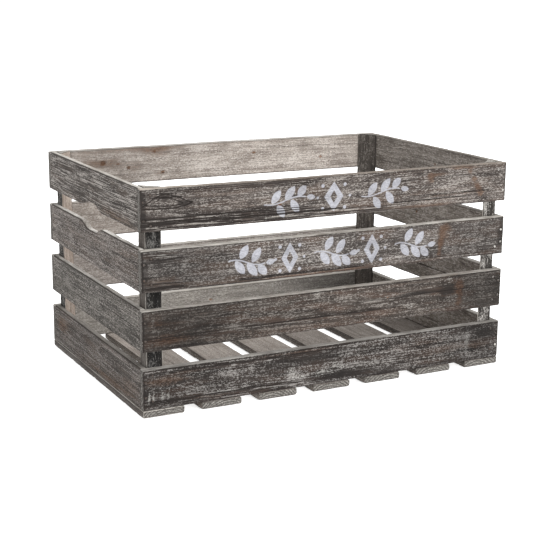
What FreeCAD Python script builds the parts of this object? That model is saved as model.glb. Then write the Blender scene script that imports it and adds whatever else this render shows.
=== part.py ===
import FreeCAD, Part
import math
import os
from FreeCAD import Vector

# Wooden apple crate: an open-topped nailed crate of thin sawn boards.
# Millimetres.  +X runs along the length, +Y from front to back, +Z up.
# The origin is the centre of the underside; the front is at -Y.

# ---------------------------------------------------------------- sizes
LENGTH = 600.0           # outside, left to right
DEPTH = 396.0            # outside, front to back
ROWS = 4                 # slats in each side; row 1 is the top one
SLAT_HEIGHT = 59.5       # height of every side slat
SLAT_GAP = 24.0          # open gap between two side slats
SIDE_THICKNESS = 10.0    # side slats, all four sides
BASE_THICKNESS = 10.6    # bottom slats
EDGE_ROUND = 0.8         # eased long edges of the boards

BASE_WIDTH = 62.8        # width of a bottom slat
# left edge of each bottom slat, measured from the crate's left end
BASE_STARTS = (0.0, 88.2, 177.8, 267.0, 355.0, 447.4, LENGTH - BASE_WIDTH)

POST_LEG = 24.2          # the two square faces of a triangular corner post
POST_BLUNT = 0.8         # sawn corner taken off the post's two sharp edges

SLAT_PITCH = SLAT_HEIGHT + SLAT_GAP
HEIGHT = BASE_THICKNESS + ROWS * SLAT_PITCH - SLAT_GAP
LEFT, RIGHT = -LENGTH / 2.0, LENGTH / 2.0
FRONT, BACK = -DEPTH / 2.0, DEPTH / 2.0


def slat_bottom(row):
    """Z of the underside of the side slats in a row."""
    return BASE_THICKNESS + (ROWS - row) * SLAT_PITCH


# ---------------------------------------------------------------- nails
# round wire, flat head, point
SHANK_RADIUS = 0.9
HEAD_RADIUS = 1.8
HEAD_THICKNESS = 0.7
POINT_LENGTH = 2.2
SIDE_NAIL = 20.0         # whole length of a nail in a side slat
BASE_NAIL = 22.0         # whole length of a nail in a bottom slat

# front and back slats: nail columns, measured from the crate's end
GRAIN_COLUMN = SIDE_THICKNESS / 2.0   # into the end slats' end grain
POST_COLUMN = 15.0                    # into the corner posts
# nail heights above the slat's lower edge, by row:
# (grain column low, grain column high, post column low, post column high)
LONG_SLAT_HEIGHTS = {
    1: (15.5, 41.0, 8.5, 50.0),
    2: (18.0, 39.5, 11.0, 47.0),
    3: (16.5, 42.0, 10.0, 48.5),
    4: (19.0, 40.0, 12.5, 49.0),
}
RIGHT_END_SLIP = 1.2     # at the right end low nails sit higher, high ones lower

# end slats: nail column, measured from the crate's front or back face
END_COLUMN = 17.0
# nail heights above the slat's lower edge, by row: (low, high)
END_SLAT_HEIGHTS = {1: (20.5, 34.0), 2: (22.0, 33.5), 3: (21.0, 35.0), 4: (25.0, 34.5)}
END_SLIP = 0.6           # front nails sit this much lower, back ones higher

# bottom slats
BASE_NAIL_OFFSET = 17.0  # a nail from the slat's middle line
BASE_CORNER_NAIL = 24.0  # a corner nail from the crate's end
BASE_END_NAIL_YS = (-110.0, 0.0, 110.0)   # nails up into the end slats


def nail(head, direction, length):
    """One nail; head is the middle of its head's outer face."""
    shank_end = -(length - POINT_LENGTH)
    outline = [Vector(0, 0, 0),
               Vector(HEAD_RADIUS, 0, 0),
               Vector(HEAD_RADIUS, 0, -HEAD_THICKNESS),
               Vector(SHANK_RADIUS, 0, -HEAD_THICKNESS),
               Vector(SHANK_RADIUS, 0, shank_end),
               Vector(0, 0, -length),
               Vector(0, 0, 0)]
    profile = Part.Face(Part.makePolygon(outline))
    solid = profile.revolve(Vector(0, 0, 0), Vector(0, 0, 1), 360)
    # an inside-out solid would spoil the cuts made with it
    if solid.Volume < 0:
        solid.reverse()
    solid.Placement = FreeCAD.Placement(
        head, FreeCAD.Rotation(Vector(0, 0, -1), direction))
    return solid


def long_slat_nails(y_face, inward):
    """Nails of the front or back; inward is the sign of Y into the crate."""
    nails = []
    for row, heights in LONG_SLAT_HEIGHTS.items():
        grain_low, grain_high, post_low, post_high = heights
        for side, slip in ((-1, 0.0), (1, RIGHT_END_SLIP)):
            x_grain = side * (LENGTH / 2.0 - GRAIN_COLUMN)
            x_post = side * (LENGTH / 2.0 - POST_COLUMN)
            for x, height in ((x_grain, grain_low + slip),
                              (x_grain, grain_high - slip),
                              (x_post, post_low + slip),
                              (x_post, post_high - slip)):
                head = Vector(x, y_face, slat_bottom(row) + height)
                nails.append(nail(head, Vector(0, inward, 0), SIDE_NAIL))
    return nails


def end_slat_nails(x_face, inward):
    """Nails of one end; inward is the sign of X into the crate."""
    nails = []
    for row, heights in END_SLAT_HEIGHTS.items():
        for side in (-1, 1):
            y = side * (DEPTH / 2.0 - END_COLUMN)
            for height in heights:
                z = slat_bottom(row) + height + END_SLIP * side
                nails.append(nail(Vector(x_face, y, z),
                                  Vector(inward, 0, 0), SIDE_NAIL))
    return nails


def base_nails():
    """Nails driven up through the bottom slats into the side slats."""
    places = []
    for start in BASE_STARTS:
        middle = LEFT + start + BASE_WIDTH / 2.0
        x_pair = [middle - BASE_NAIL_OFFSET, middle + BASE_NAIL_OFFSET]
        if start == BASE_STARTS[0]:
            x_pair[0] = LEFT + BASE_CORNER_NAIL
        if start == BASE_STARTS[-1]:
            x_pair[1] = RIGHT - BASE_CORNER_NAIL
        for y in (FRONT + SIDE_THICKNESS / 2.0, BACK - SIDE_THICKNESS / 2.0):
            places += [(x, y) for x in x_pair]
    for x in (LEFT + SIDE_THICKNESS / 2.0, RIGHT - SIDE_THICKNESS / 2.0):
        places += [(x, y) for y in BASE_END_NAIL_YS]
    return [nail(Vector(x, y, 0), Vector(0, 0, 1), BASE_NAIL) for x, y in places]


def nailed(board, nails):
    """The board with a hole of each nail's own shape where a nail passes."""
    box = board.BoundBox
    near = [n for n in nails if box.intersect(n.BoundBox)]
    if near:
        board = board.cut(Part.makeCompound(near))
    solids = board.Solids
    if len(solids) != 1:
        raise ValueError("a board must stay one solid")
    return solids[0]


# ---------------------------------------------------------------- boards
def eased_box(size_x, size_y, size_z, corner, axis):
    """A board with its four long edges rounded; axis is its long direction."""
    box = Part.makeBox(size_x, size_y, size_z, corner)
    long_edges = []
    for edge in box.Edges:
        tangent = edge.tangentAt(edge.FirstParameter)
        if abs(abs(tangent.dot(axis)) - 1.0) < 1e-6:
            long_edges.append(edge)
    return box.makeFillet(EDGE_ROUND, long_edges)


def long_slat(y_low, row):
    """Front or back slat, over the crate's whole length."""
    return eased_box(LENGTH, SIDE_THICKNESS, SLAT_HEIGHT,
                     Vector(LEFT, y_low, slat_bottom(row)), Vector(1, 0, 0))


def bottom_slat(start):
    return eased_box(BASE_WIDTH, DEPTH, BASE_THICKNESS,
                     Vector(LEFT + start, FRONT, 0), Vector(0, 1, 0))


def corner_post(side_x, side_y):
    """Triangular post: its two square faces lie on the side slats and its
    sawn face looks into the crate."""
    x_corner = side_x * (LENGTH / 2.0 - SIDE_THICKNESS)
    y_corner = side_y * (DEPTH / 2.0 - SIDE_THICKNESS)
    # distances into the crate from the inside corner: (along X, along Y)
    section = [(0, 0), (POST_LEG, 0), (POST_LEG, POST_BLUNT),
               (POST_BLUNT, POST_LEG), (0, POST_LEG), (0, 0)]
    outline = [Vector(x_corner - side_x * x, y_corner - side_y * y, BASE_THICKNESS)
               for x, y in section]
    face = Part.Face(Part.makePolygon(outline))
    return face.extrude(Vector(0, 0, HEIGHT - BASE_THICKNESS))


# hand hole: one notch in the lower edge of end slat 1 and one in the
# upper edge of end slat 2, together with the gap between them
HAND_FRONT = -46.0       # Y where a notch starts, on the front's side
HAND_FLAT_FRONT = -13.0  # Y where its level part starts
HAND_FLAT_BACK = 10.0    # Y where its level part ends
HAND_BACK = 54.0         # Y where the notch ends
HAND_DEPTH = 9.2         # depth of each notch
CUT_SPARE_X = 1.0        # cutter beyond each face of the slat
CUT_SPARE_Z = 2.0        # cutter beyond the slat's edge


def hand_notch(x_low, z_edge, sign):
    """Cutter for one notch: level in the middle, an ogee at each side.
    sign +1 cuts upward from z_edge, -1 cuts downward from it."""

    def point(y, depth):
        return Vector(x_low - CUT_SPARE_X, y, z_edge + sign * depth)

    def ogee(y_edge, y_flat):
        """Two equal arcs from the slat's edge to the notch's level part,
        each as its start, a point on the way and its end."""
        way = 1.0 if y_flat > y_edge else -1.0
        run = abs(y_flat - y_edge)
        radius = (run * run + HAND_DEPTH * HAND_DEPTH) / (4.0 * HAND_DEPTH)
        half_angle = math.asin((run / 2.0) / radius) / 2.0
        along = radius * math.sin(half_angle)
        rise = radius - radius * math.cos(half_angle)
        middle = point(y_edge + way * run / 2.0, HAND_DEPTH / 2.0)
        return [(point(y_edge, 0), point(y_edge + way * along, rise), middle),
                (middle, point(y_flat - way * along, HAND_DEPTH - rise),
                 point(y_flat, HAND_DEPTH))]

    front = ogee(HAND_FRONT, HAND_FLAT_FRONT)
    # the back ogee is walked the other way, from the level part to the edge
    back = [arc[::-1] for arc in reversed(ogee(HAND_BACK, HAND_FLAT_BACK))]
    edges = [Part.Arc(*arc).toShape() for arc in front]
    edges.append(Part.makeLine(front[-1][-1], back[0][0]))
    edges += [Part.Arc(*arc).toShape() for arc in back]
    outside = [back[-1][-1], point(HAND_BACK, -CUT_SPARE_Z),
               point(HAND_FRONT, -CUT_SPARE_Z), front[0][0]]
    edges += [Part.makeLine(a, b) for a, b in zip(outside, outside[1:])]
    face = Part.Face(Part.Wire(edges))
    return face.extrude(Vector(SIDE_THICKNESS + 2.0 * CUT_SPARE_X, 0, 0))


def end_slat(x_low, row):
    """Left or right slat, held between the front and back slats."""
    z = slat_bottom(row)
    board = eased_box(SIDE_THICKNESS, DEPTH - 2.0 * SIDE_THICKNESS, SLAT_HEIGHT,
                      Vector(x_low, FRONT + SIDE_THICKNESS, z), Vector(0, 1, 0))
    if row == 1:
        board = board.cut(hand_notch(x_low, z, 1.0))
    if row == 2:
        board = board.cut(hand_notch(x_low, z + SLAT_HEIGHT, -1.0))
    return board


# ---------------------------------------------------------------- crate
nail_groups = {
    "front_nails": long_slat_nails(FRONT, 1.0),
    "back_nails": long_slat_nails(BACK, -1.0),
    "left_end_nails": end_slat_nails(LEFT, 1.0),
    "right_end_nails": end_slat_nails(RIGHT, -1.0),
    "bottom_nails": base_nails(),
}
all_nails = [n for group in nail_groups.values() for n in group]

boards = {}
for row in range(1, ROWS + 1):
    boards[f"front_slat_{row}"] = long_slat(FRONT, row)
    boards[f"back_slat_{row}"] = long_slat(BACK - SIDE_THICKNESS, row)
    boards[f"left_end_slat_{row}"] = end_slat(LEFT, row)
    boards[f"right_end_slat_{row}"] = end_slat(RIGHT - SIDE_THICKNESS, row)
for y_name, side_y in (("front", -1), ("back", 1)):
    for x_name, side_x in (("left", -1), ("right", 1)):
        boards[f"post_{y_name}_{x_name}"] = corner_post(side_x, side_y)
for number, start in enumerate(BASE_STARTS, 1):
    boards[f"bottom_slat_{number}"] = bottom_slat(start)

os.makedirs("parts", exist_ok=True)
for name, board in boards.items():
    nailed(board, all_nails).exportStep(f"parts/{name}.step")
for name, group in nail_groups.items():
    Part.makeCompound(group).exportStep(f"parts/{name}.step")
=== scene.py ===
"""Weathered wooden apple crate, once whitewashed, with a stencilled motif.

The crate stands on z = 0 with its front toward -Y and its left end toward -X.
Every CAD board, corner post and group of nails is rebuilt in its own place.
Shapes are worked out in millimetres.  A board has its own frame: x along the
grain, y across the board, z out of its show face (for the bottom, upward).
"""

import math
from types import SimpleNamespace

import bpy
import numpy as np
from mathutils import Matrix, Vector


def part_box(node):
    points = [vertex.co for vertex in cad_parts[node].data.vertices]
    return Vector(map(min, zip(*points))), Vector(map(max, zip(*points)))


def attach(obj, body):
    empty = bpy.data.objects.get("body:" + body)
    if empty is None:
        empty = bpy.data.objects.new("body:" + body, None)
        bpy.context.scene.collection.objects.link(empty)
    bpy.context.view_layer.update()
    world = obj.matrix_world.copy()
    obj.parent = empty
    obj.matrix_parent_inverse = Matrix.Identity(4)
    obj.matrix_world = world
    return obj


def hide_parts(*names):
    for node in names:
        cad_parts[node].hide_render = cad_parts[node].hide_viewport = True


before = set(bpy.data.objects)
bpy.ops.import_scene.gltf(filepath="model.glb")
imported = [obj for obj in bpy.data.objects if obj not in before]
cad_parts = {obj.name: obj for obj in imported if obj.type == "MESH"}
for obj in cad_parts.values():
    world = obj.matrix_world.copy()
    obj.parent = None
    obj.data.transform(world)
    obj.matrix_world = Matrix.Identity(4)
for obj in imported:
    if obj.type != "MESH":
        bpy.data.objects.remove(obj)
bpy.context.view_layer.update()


# Lattice spacing, mm.
EDGE_STEPS = (0.0, 0.4, 0.9, 1.5, 2.3, 3.3)     # rows in from both ends of a side
BOARD_STEPS = (3.0, 0.95, 1.5)                  # along, across, through
NAILED_STEP, MOTIF_STEP, NOTCH_STEP = 1.1, 1.4, 2.0
NOTCH_ROWS = 58.0                               # half length of the closer rows
POST_STEP, OUTLINE_STEP = 2.6, 0.95
CAP_RINGS = (0.94, 0.82, 0.66, 0.48, 0.30, 0.14)  # scales of a post's end rings

# Hand notch, mm along the board with + toward the crate's back.
NOTCH_FRONT, NOTCH_FLAT, NOTCH_BACK = -46.0, (-13.0, 10.0), 54.0
NOTCH_DEPTH = 9.2

# What shifts each piece's colour noise, mm per unit of seed.
SEED_SHIFT = np.array([131.7, 71.3, 23.9])


# ------------------------------------------------------------------ noise
NOISE_TABLE = np.random.default_rng(20417).random((64, 64, 64)).astype(np.float32)


def value_noise(x, y, z):
    """Smooth value noise, 0 to 1."""
    places = np.broadcast_arrays(np.asarray(x, float), y, z)
    cells = [np.floor(place) for place in places]
    parts = [place - cell for place, cell in zip(places, cells)]
    shares = [part * part * (3 - 2 * part) for part in parts]
    near = [cell.astype(np.int64) & 63 for cell in cells]
    far = [(index + 1) & 63 for index in near]

    def blended(axis, index):
        if axis < 0:
            return NOISE_TABLE[tuple(index)]
        return (blended(axis - 1, [near[axis]] + index) * (1 - shares[axis])
                + blended(axis - 1, [far[axis]] + index) * shares[axis])

    return blended(2, [])


def layered(x, y, z, octaves=3):
    """Octaves of value noise, 0 to 1."""
    total, norm = 0.0, 0.0
    for k in range(octaves):
        scale, weight = 2.0 ** k, 0.5 ** k
        total = total + weight * value_noise(
            x * scale + 11.3 * k, y * scale + 5.7 * k, z * scale + 3.1 * k)
        norm += weight
    return total / norm


def smooth(start, end, x):
    """0 at start, 1 at end, eased at both."""
    part = np.clip((x - start) / (end - start), 0.0, 1.0)
    return part * part * (3 - 2 * part)


# ----------------------------------------------------------------- meshes
def stations(length, step, fine=()):
    """Rows over -length/2 to length/2, closer at both ends and inside the
    fine spans (low, high, step)."""
    half = length / 2.0
    rows = [-half + e for e in EDGE_STEPS if e < half - 0.3]
    far_rows = [-row for row in reversed(rows)]
    x = rows[-1]
    while True:
        stride = min([step] + [s for low, high, s in fine if low - 1e-6 <= x < high])
        if x + 1.5 * stride >= far_rows[0]:
            break
        x += stride
        rows.append(x)
    return np.array(rows + far_rows)


def box_lattice(x_rows, y_rows, z_rows):
    """Closed box of quads over three sets of rows."""
    shape = (len(x_rows), len(y_rows), len(z_rows))
    surface = np.ones(shape, bool)
    surface[1:-1, 1:-1, 1:-1] = False
    ids = np.full(shape, -1, np.int64)
    ids[surface] = np.arange(int(surface.sum()))
    i, j, k = np.nonzero(surface)
    points = np.stack([x_rows[i], y_rows[j], z_rows[k]], -1)

    def quads(side):
        return np.stack([side[:-1, :-1], side[1:, :-1], side[1:, 1:], side[:-1, 1:]],
                        -1).reshape(-1, 4)

    faces = []
    for grid in (ids, ids.transpose(1, 2, 0), ids.transpose(2, 0, 1)):
        faces += [quads(grid[:, :, -1]), quads(grid[:, :, 0])[:, ::-1]]
    return points, np.concatenate(faces)


def fields(**columns):
    """Vector attributes, each from three arrays or numbers."""
    return {name: np.stack(np.broadcast_arrays(*values), -1)
            for name, values in columns.items()}


def add_piece(name, node, points, blocks, vectors, material):
    """Adds the mesh that replaces a CAD node.  Points in mm; each block is an
    array of faces with the same number of corners."""
    mesh = bpy.data.meshes.new(name)
    mesh.vertices.add(len(points))
    mesh.vertices.foreach_set("co", np.ascontiguousarray(points / 1000.0, np.float32).ravel())
    corners = np.concatenate([b.ravel() for b in blocks]).astype(np.int32)
    sizes = np.concatenate([np.full(len(b), b.shape[1]) for b in blocks])
    starts = np.concatenate([[0], np.cumsum(sizes)[:-1]]).astype(np.int32)
    mesh.loops.add(len(corners))
    mesh.loops.foreach_set("vertex_index", corners)
    mesh.polygons.add(len(sizes))
    mesh.polygons.foreach_set("loop_start", starts)
    mesh.update(calc_edges=True)
    mesh.validate()
    mesh.polygons.foreach_set("use_smooth", np.ones(len(mesh.polygons), bool))
    for key, value in vectors.items():
        attribute = mesh.attributes.new(key, "FLOAT_VECTOR", "POINT")
        attribute.data.foreach_set("vector", np.ascontiguousarray(value, np.float32).ravel())
    piece = bpy.data.objects.new(name, mesh)
    bpy.context.scene.collection.objects.link(piece)
    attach(piece, "root")
    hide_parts(node)
    mesh.materials.append(material)


# ----------------------------------------------------------------- motif
# Leafy sprigs, lozenges and dots, cut as a stencil.  Signed distances in mm,
# negative inside the paint.
STEM_HALF_THICK = 0.9
LEAF_GAP = 2.2
# place along the stem, angle in degrees, length per motif height
LEAVES = ((-0.34, 52, 0.50), (-0.20, -58, 0.46), (-0.02, 50, 0.52),
          (0.12, -56, 0.50), (0.28, 44, 0.40))
# place along the span, height per motif height, radius in mm
DOTS = ((0.23, 0.36, 2.6), (0.23, -0.36, 2.6), (0.335, 0.0, 2.1))


def lozenge(x, y, half_x, half_y):
    return ((np.abs(x) / half_x + np.abs(y) / half_y - 1.0)
            * (half_x * half_y / math.hypot(half_x, half_y)))


def leaf(x, y, root_x, root_y, angle, length, width, gap=0.0):
    """A pointed leaf along angle degrees, a gap away from its root."""
    cos, sin = math.cos(math.radians(angle)), math.sin(math.radians(angle))
    x, y = x - (root_x + gap * cos), y - (root_y + gap * sin)
    along = x * cos + y * sin - length / 2.0
    aside = -x * sin + y * cos
    half_length, half_width = length / 2.0, width / 2.0
    radius = (half_length ** 2 + half_width ** 2) / (2.0 * half_width)
    shift = radius - half_width
    return np.maximum(np.hypot(along, aside - shift), np.hypot(along, aside + shift)) - radius


def sprig(x, y, centre, middle, tall, stem, flip):
    """A bowed stem with paired leaves and a leaf at its tip."""
    def wave(place):
        return middle + flip * tall * 0.10 * np.sin((place - centre) / stem * math.pi * 1.5)

    start, tip = centre - stem / 2, centre + stem / 2
    slope = wave(x + 0.5) - wave(x - 0.5)
    band = np.abs(y - wave(x)) / np.sqrt(1 + slope * slope) - STEM_HALF_THICK
    parts = [np.maximum(band, np.maximum(start - x, x - tip))]
    for place, angle, length in LEAVES:
        root = centre + place * stem
        parts.append(leaf(x, y, root, float(wave(root)), angle * flip,
                          tall * length, tall * 0.25, LEAF_GAP))
    parts.append(leaf(x, y, tip + 1.5, float(wave(tip)), -8 * flip, tall * 0.30, tall * 0.17))
    return parts


def spacer(x, y, centre, middle, tall, span):
    """A pierced lozenge with three dots on each side."""
    x, y = x - centre, y - middle
    parts = [np.maximum(lozenge(x, y, span * 0.20, tall * 0.47),
                        -lozenge(x, y, span * 0.075, tall * 0.20))]
    for side in (-1, 1):
        parts += [np.hypot(x - side * span * place, y - tall * height) - radius
                  for place, height, radius in DOTS]
    return parts


def motif_distance(x, y, start, end, low, high, count, flip):
    """A row from start to end between two heights: sprigs and spacers in turn."""
    middle, tall = (low + high) / 2.0, high - low
    span = (end - start) / count
    parts = []
    for k in range(count):
        centre = start + span * (k + 0.5)
        if k % 2 == 0:
            parts += sprig(x, y, centre, middle, tall, span * 0.84, flip)
        else:
            parts += spacer(x, y, centre, middle, tall, span)
    return np.minimum.reduce(parts)


# ------------------------------------------------------------ wood fields
def patches(x, y, rows, seed):
    """Sum of soft, ragged patches (x, y, half length, half width, amount)."""
    total = np.zeros(x.shape)
    if not rows:
        return total
    rag_x = 2.0 * (layered(x / 16.0, y / 7.0, seed + 31.5) - 0.5)
    rag_y = 2.0 * (layered(x / 19.0, y / 6.0, seed + 57.5) - 0.5)
    for mid_x, mid_y, half_x, half_y, amount in rows:
        off_x = (x - mid_x + min(9.0, 0.7 * half_x) * rag_x) / half_x
        off_y = (y - mid_y + min(4.0, 0.7 * half_y) * rag_y) / half_y
        total += amount * np.exp(-(off_x * off_x + off_y * off_y) ** 1.3)
    return total


def ring_fields(x, y, z, pith, knots, seed):
    """Tree ring number, and how knotty the place is.  Pith: y, z, slope along
    the grain, ring width.  Knots: x, y, radius."""
    pith_y, pith_z, slope, width = pith
    wander = 9.0 * (layered(x / 170.0, seed, 0.5, 2) - 0.5)
    radius = np.hypot(y - pith_y - 1.6 * wander, z - (pith_z + slope * x + wander))
    radius = radius + 2.4 * (layered(x / 55.0, y / 14.0, z / 14.0 + seed) - 0.5)
    radius = radius + 0.5 * (layered(x / 14.0, y / 3.0, z / 3.0 + seed, 2) - 0.5)
    knot = np.zeros(x.shape)
    for knot_x, knot_y, size in knots:
        swirl = np.hypot((x - knot_x) / 1.7, y - knot_y)
        radius = radius + 2.6 * size * np.exp(-(swirl / (2.1 * size)) ** 2)
        far = np.hypot((x - knot_x) / 1.25, y - knot_y) + value_noise(x / 3, y / 3, seed) - 0.5
        knot = np.maximum(knot, 1 - smooth(0.75 * size, 1.25 * size, far))
    return radius / width, knot


def crack_fields(x, y, seed, cracks, lenses=()):
    """A product of signed distances that crosses zero on every crack, and how
    open the nearest crack is.  Cracks: start, end, y, slope, wander, opening.
    A lens is an eye of grain between an upper and a lower curve that meet at
    its tip, and its opening."""
    lines = []
    for n, (start, end, mid_y, slope, wander, opening) in enumerate(cracks):
        line = mid_y + slope * (x - (start + end) / 2.0) + wander * (
            2.0 * (layered(x / 23.0, seed + 7.0 * n, 1.5) - 0.5))
        taper = smooth(start - 6, start + 14, x) * (1 - smooth(end - 24, end + 6, x))
        lines.append((y - line, opening * taper))
    for upper, lower, opening in lenses:
        upper_x, upper_y = np.array(upper, float).T
        lower_x, lower_y = np.array(lower, float).T
        rag = 1.1 * (layered(x / 9.0, seed, 4.5) - 0.5)
        tip, tip_y = upper_x[-1], upper_y[-1]
        distance = np.maximum(y - np.interp(x, upper_x, upper_y) - rag,
                              np.interp(x, lower_x, lower_y) + rag - y)
        distance = np.where(x > tip, np.maximum(np.hypot(x - tip, y - tip_y), 0.5), distance)
        inside = (smooth(upper_x[0] - 2, upper_x[0] + 6, x)
                  * (1 - smooth(tip + 1, tip + 5, x)))
        lines.append((distance, opening * inside))
    signed, openness = np.ones(x.shape), np.zeros(x.shape)
    for distance, amount in lines:
        signed = signed * np.tanh(distance / 1.6)
        openness = np.maximum(openness, amount * (1 - smooth(2.5, 5.0, np.abs(distance))))
    return signed, openness


# ----------------------------------------------------------- board shapes
def box_mm(node):
    return [np.array(corner, float) * 1000.0 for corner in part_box(node)]


def eased_box(board):
    """The board's box with its arrises eased, knocked and chipped differently
    along each; points and normals."""
    raw, half, seed = board.raw, board.half, board.seed
    x, y, z = raw.T
    arris = board.side_y * 2.0 + board.side_z * 0.7
    radius = 0.85 + 0.8 * layered(x / 45.0, arris * 9.1, seed)
    radius = radius + board.chips * smooth(
        0.66, 0.84, layered(x / 9.0, arris * 4.7 + 40.0, seed + 3.0))
    near_end = smooth(14.0, 0.0, board.inset[:, 0])
    radius = radius + board.corner * near_end * value_noise(
        arris * 3.3 + 8.0, board.side_x * 5.0, seed)
    radius = np.minimum(radius, half[2] * 0.78)
    end_radius = 0.8 + 1.2 * layered(y / 9.0, z / 6.0, board.side_x * 7.0 + seed, 2)

    radii = np.stack([end_radius, radius, radius], -1)
    core = np.clip(raw, -(half - radii), half - radii)
    away = (raw - core) / radii
    length = np.linalg.norm(away, axis=1, keepdims=True)
    length[length < 1e-9] = 1.0
    away = away / length
    normals = away / radii
    normals /= np.linalg.norm(normals, axis=1, keepdims=True)
    return core + away * radii, normals


def notch_depth(x):
    """Depth of the hand notch, with +x toward the crate's back."""
    def ogee(place, run):
        radius = (run * run + NOTCH_DEPTH * NOTCH_DEPTH) / (4.0 * NOTCH_DEPTH)
        place = np.clip(place, 0.0, run)

        def sag(chord):
            return radius - np.sqrt(np.maximum(radius * radius - chord ** 2, 0.0))

        return np.where(place < run / 2.0, sag(place), NOTCH_DEPTH - sag(run - place))

    return np.minimum(ogee(x - NOTCH_FRONT, NOTCH_FLAT[0] - NOTCH_FRONT),
                      ogee(NOTCH_BACK - x, NOTCH_BACK - NOTCH_FLAT[1]))


def near_heads(board, reach, power, amounts=(1.0, 1.0)):
    """Rounds about the nail heads; amounts for heads at -x and at +x."""
    total = np.zeros(board.x.shape)
    for x, y, face in board.nails:
        near = np.hypot(board.x - x, board.y - y)
        total += np.where(board.side_z * face > 0,
                          amounts[0 if x < 0 else 1] * np.exp(-(near / reach) ** power), 0.0)
    return total


def board_relief(board):
    """How deep the surface is weathered away, mm."""
    x, y, z, seed = board.x, board.y, board.z, board.seed
    # the soft early wood is gone between the late wood
    part = board.ring - np.floor(board.ring)
    late = smooth(0.35, 0.92, part) * (1 - smooth(0.93, 1.0, part))
    fibre = layered(x / 26.0, y / 1.5, z / 1.5 + seed)
    gnarl = layered(x / 9.0, y / 4.0, z / 4.0 + seed * 2)
    relief = 0.22 * board.open_grain * (1 - late) + 0.26 * fibre + 0.30 * smooth(0.45, 0.8, gnarl)
    relief = relief * board.rough * np.where(board.on_end, 0.7, 1.0)
    crack = np.exp(-(np.abs(board.crack) / 0.33) ** 2) * board.opening
    relief = relief + 0.75 * crack - 0.10 * board.knot
    checks = smooth(0.70, 0.86, layered(y / 2.2, z / 2.6, seed + board.side_x * 3.0, 2))
    relief = relief + 0.8 * checks * board.on_end
    # dents round the driven heads
    return relief + 0.45 * near_heads(board, reach=2.6, power=4)


def warp(board, points):
    """A little cup and bow, none at the ends where the board is nailed down."""
    x, half_length = board.x, board.half[0]
    hold = 1.0 - (np.abs(x) / half_length) ** 4
    bow_z, bow_y = board.bow
    points[:, 2] += hold * bow_z * np.cos(math.pi * x / (2 * half_length))
    points[:, 1] += hold * (bow_y * np.exp(-((x - board.bow_at) / (0.45 * half_length)) ** 2)
                            + 0.35 * (layered(x / 120.0, board.seed, 9.5, 2) - 0.5))


# Stains: name, seed shift on the outer side, seed shift on the inner side.
STAINS = (("white", 1.0, 8.0), ("dark", 2.0, 6.0), ("brown", 3.0, 7.0))


def board_fields(board):
    """What the wood material reads from the mesh."""
    _, y, z = board.raw.T
    half_width = board.half[1]

    def field(key, shift):
        return patches(board.x, board.y, getattr(board, key), board.seed + shift)

    white, dark, brown = (
        field(key, out) * board.outside + (1 - board.outside) * field(key + "_in", within)
        for key, out, within in STAINS)
    dark = dark + near_heads(board, reach=3.4, power=2, amounts=board.iron)

    inner = np.where(board.side_z * board.inside > 0, 1.0, 0.0)
    # lightness of each side and of the edges: partly the wood's own tone, partly painted light and
    # shade
    gain = (board.gain_out * (1.0 + field("gains_out", 4.0)) * (1 - inner)
            + board.gain_in * (1.0 + field("gains_in", 5.0)) * inner)
    gain = np.where(board.on_edge, gain * board.side_gain, gain)
    inner = np.where(board.on_edge | board.on_end, board.inner_edge, inner)

    top = np.where(board.on_edge & (board.side_y > 0), 1.0, 0.0)
    arris = np.sort(board.inset, axis=1)[:, 1]
    top_band = np.where(y > 0, 1.0, 0.0) * np.exp(-((half_width - y) / 1.7) ** 2)
    wear = (board.wear[0] * np.exp(-(arris / 1.6) ** 1.5)
            + board.wear[1] * np.maximum(top, top_band * np.where(board.on_end, 0.6, 1.0)))
    if board.outer_line:
        # the upper edge is rubbed pale on its inner side only
        wear = wear * (1 - 0.85 * smooth(1.2, 3.6, z) * (y > half_width - 3.0))
        dark = dark + (board.outer_line * smooth(2.4, 4.6, z)
                       * smooth(2.6, 0.2, half_width - y))

    stencil = 6.0
    if board.motif:
        show = ((board.inset[:, 2] < 1e-6) & ~board.on_end & ~board.on_edge
                & (board.side_z > 0))
        distance = motif_distance(board.x, board.y, *board.motif)
        stencil = np.where(show, np.clip(distance, -6, 6), 6.0)
    place = np.stack([board.x, board.y, board.z], -1) + SEED_SHIFT * board.seed
    return fields(gc=place.T,
                  wa=(board.ring, board.open_grain, stencil),
                  wb=(white, dark, brown),
                  wc=(inner, board.on_end, np.clip(wear, 0.0, 1.4)),
                  wd=(board.crack, board.opening, board.knot),
                  we=(gain, top, field("top_shade", 9.0)))


def heads_on(board):
    """Nail heads on the board's faces: x, y and the side they lie on."""
    out = []
    for group in NAILS.values():
        for head, _, _ in group:
            x, y, z = board.axes @ (head - board.centre)
            if (abs(x) < board.half[0] and abs(y) < board.half[1]
                    and abs(abs(z) - board.half[2]) < 0.8):
                out.append((float(x), float(y), float(np.sign(z))))
    return out


def fine_spans(board):
    """Where the rows along the board are closer: (low, high, step)."""
    end, spans = board.half[0], []
    if board.nails:
        nailed = min(abs(x) for x, _, _ in board.nails if abs(x) > end / 2) - 4
        spans = [(-end, -nailed, NAILED_STEP), (nailed, end, NAILED_STEP)]
    if board.motif:
        spans.append((board.motif[0] - 3, board.motif[1] + 3, MOTIF_STEP))
    if board.notch:
        spans.append((-NOTCH_ROWS, NOTCH_ROWS, NOTCH_STEP))
    return spans


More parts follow.
